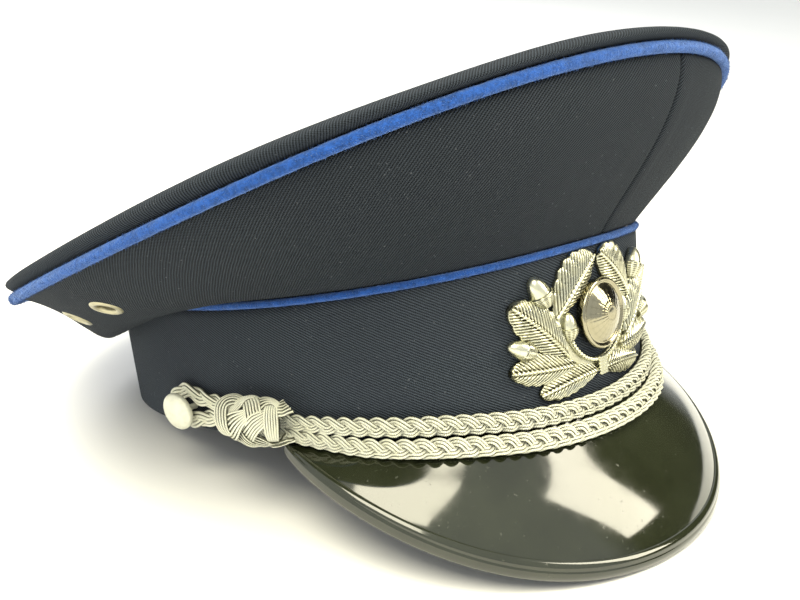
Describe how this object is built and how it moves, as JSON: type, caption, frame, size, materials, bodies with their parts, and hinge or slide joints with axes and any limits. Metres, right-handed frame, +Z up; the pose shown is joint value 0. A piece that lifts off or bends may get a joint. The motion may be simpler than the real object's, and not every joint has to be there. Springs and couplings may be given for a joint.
{
  "type": "police cap",
  "caption": "Peaked uniform cap with a raised front crown, blue piping, glossy peak, silver chin cord and wreath badge.",
  "frame": {"origin": "centre of the cap's box, at the surface that it rests on", "axes": "+Z up, +X to the wearer's left, +Y from front to back; the front faces -Y"},
  "size_m": [0.2658, 0.271, 0.1566],
  "materials": {
    "cloth": "dark navy twill",
    "piping": "blue felt",
    "peak_gloss": "black gloss",
    "bullion": "braided silver wire",
    "button": "matt silver",
    "eyelet": "worn satin",
    "badge": "cast and polished"
  },
  "bodies": {
    "root": {"band": "cloth", "band_piping": "piping", "crown_side_right": "cloth", "crown_side_left": "cloth", "crown_piping": "piping", "crown_top": "cloth", "peak": "peak_gloss", "chin_cord": "bullion", "slide_knot_right": "bullion", "slide_knot_left": "bullion", "button_right": "button", "button_left": "button", "eyelet_front_right": "eyelet", "eyelet_back_right": "eyelet", "eyelet_front_left": "eyelet", "eyelet_back_left": "eyelet", "wreath_badge": "badge", "cockade": "badge"}
  },
  "joints": []
}
